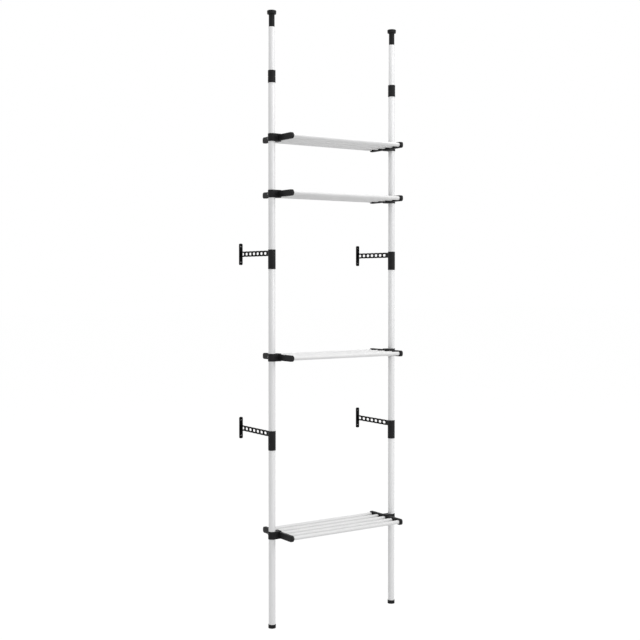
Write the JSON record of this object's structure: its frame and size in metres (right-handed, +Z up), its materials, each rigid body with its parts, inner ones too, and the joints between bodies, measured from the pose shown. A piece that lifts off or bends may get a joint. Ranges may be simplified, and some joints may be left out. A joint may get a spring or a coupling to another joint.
{
  "type": "tension pole shelf unit",
  "caption": "Telescopic poles braced between floor and ceiling, with slotted wall arms and shelves of round rods clamped between the poles.",
  "frame": {"origin": "on the floor, at the middle of the footprint's bounding box", "axes": "+X from the left pole to the right pole, +Y back towards the wall, +Z up along the poles"},
  "size_m": [0.65, 0.3626, 2.5],
  "materials": {
    "tubes": "light grey, glossy",
    "rods": "white, glossy",
    "fittings": "black, satin",
    "steel": "zinc plated"
  },
  "bodies": {
    "poles": {"left_foot_cap": "fittings", "left_lower_tube": "tubes", "left_middle_tube": "tubes", "left_upper_tube": "tubes", "left_lower_wall_sleeve": "fittings", "left_upper_wall_sleeve": "fittings", "right_foot_cap": "fittings", "right_lower_tube": "tubes", "right_middle_tube": "tubes", "right_upper_tube": "tubes", "right_lower_wall_sleeve": "fittings", "right_upper_wall_sleeve": "fittings"},
    "inner_left": {"left_inner_tube": "tubes", "left_spring": "steel"},
    "plunger_left": {"left_plunger": "fittings"},
    "lock_left": {"left_lock_sleeve": "fittings"},
    "arm_lower_left": {"left_lower_wall_arm": "fittings"},
    "arm_upper_left": {"left_upper_wall_arm": "fittings"},
    "inner_right": {"right_inner_tube": "tubes", "right_spring": "steel"},
    "plunger_right": {"right_plunger": "fittings"},
    "lock_right": {"right_lock_sleeve": "fittings"},
    "arm_lower_right": {"right_lower_wall_arm": "fittings"},
    "arm_upper_right": {"right_upper_wall_arm": "fittings"},
    "shelf_1": {"shelf_1_left_bracket": "fittings", "shelf_1_left_clamp_screw": "steel", "shelf_1_right_bracket": "fittings", "shelf_1_right_clamp_screw": "steel", "shelf_1_rod_1": "rods", "shelf_1_rod_2": "rods", "shelf_1_rod_3": "rods", "shelf_1_rod_4": "rods", "shelf_1_rod_5": "rods"},
    "shelf_2": {"shelf_2_left_bracket": "fittings", "shelf_2_left_clamp_screw": "steel", "shelf_2_right_bracket": "fittings", "shelf_2_right_clamp_screw": "steel", "shelf_2_rod_1": "rods", "shelf_2_rod_2": "rods", "shelf_2_rod_3": "rods", "shelf_2_rod_4": "rods", "shelf_2_rod_5": "rods"},
    "shelf_3": {"shelf_3_left_bracket": "fittings", "shelf_3_left_clamp_screw": "steel", "shelf_3_right_bracket": "fittings", "shelf_3_right_clamp_screw": "steel", "shelf_3_rod_1": "rods", "shelf_3_rod_2": "rods", "shelf_3_rod_3": "rods", "shelf_3_rod_4": "rods", "shelf_3_rod_5": "rods"},
    "shelf_4": {"shelf_4_left_bracket": "fittings", "shelf_4_left_clamp_screw": "steel", "shelf_4_right_bracket": "fittings", "shelf_4_right_clamp_screw": "steel", "shelf_4_rod_1": "rods", "shelf_4_rod_2": "rods", "shelf_4_rod_3": "rods", "shelf_4_rod_4": "rods", "shelf_4_rod_5": "rods"}
  },
  "joints": [
    {"name": "inner_slide_left", "type": "slide", "parent": "poles", "child": "inner_left", "axis": [0, 0, 1], "range_m": [-0.15, 0.3]},
    {"name": "plunger_slide_left", "type": "slide", "parent": "inner_left", "child": "plunger_left", "axis": [0, 0, 1], "range_m": [-0.035, 0], "stiffness_N_per_m": 3300, "springref_m": 0.03, "deforming": ["left_spring"]},
    {"name": "lock_twist_left", "type": "hinge", "parent": "poles", "child": "lock_left", "pos_m": [-0.306, -0.07075, 2.235], "axis": [0, 0, 1], "range_deg": [0, 90]},
    {"name": "arm_hinge_lower_left", "type": "hinge", "parent": "poles", "child": "arm_lower_left", "pos_m": [-0.306, -0.04405, 0.7881], "axis": [1, 0, 0], "range_deg": [-60, 60]},
    {"name": "arm_hinge_upper_left", "type": "hinge", "parent": "poles", "child": "arm_upper_left", "pos_m": [-0.306, -0.04405, 1.5227], "axis": [1, 0, 0], "range_deg": [-60, 60]},
    {"name": "inner_slide_right", "type": "slide", "parent": "poles", "child": "inner_right", "axis": [0, 0, 1], "range_m": [-0.15, 0.3]},
    {"name": "plunger_slide_right", "type": "slide", "parent": "inner_right", "child": "plunger_right", "axis": [0, 0, 1], "range_m": [-0.035, 0], "stiffness_N_per_m": 3300, "springref_m": 0.03, "deforming": ["right_spring"]},
    {"name": "lock_twist_right", "type": "hinge", "parent": "poles", "child": "lock_right", "pos_m": [0.306, -0.07075, 2.235], "axis": [0, 0, 1], "range_deg": [0, 90]},
    {"name": "arm_hinge_lower_right", "type": "hinge", "parent": "poles", "child": "arm_lower_right", "pos_m": [0.306, -0.04405, 0.7881], "axis": [1, 0, 0], "range_deg": [-60, 60]},
    {"name": "arm_hinge_upper_right", "type": "hinge", "parent": "poles", "child": "arm_upper_right", "pos_m": [0.306, -0.04405, 1.5227], "axis": [1, 0, 0], "range_deg": [-60, 60]},
    {"name": "shelf_slide_1", "type": "slide", "parent": "poles", "child": "shelf_1", "axis": [0, 0, 1], "range_m": [-0.34, 0.32]},
    {"name": "shelf_slide_2", "type": "slide", "parent": "poles", "child": "shelf_2", "axis": [0, 0, 1], "range_m": [-0.27, 0.33]},
    {"name": "shelf_slide_3", "type": "slide", "parent": "poles", "child": "shelf_3", "axis": [0, 0, 1], "range_m": [-0.195, 0.09]},
    {"name": "shelf_slide_4", "type": "slide", "parent": "poles", "child": "shelf_4", "axis": [0, 0, 1], "range_m": [-0.09, 0.195]}
  ]
}
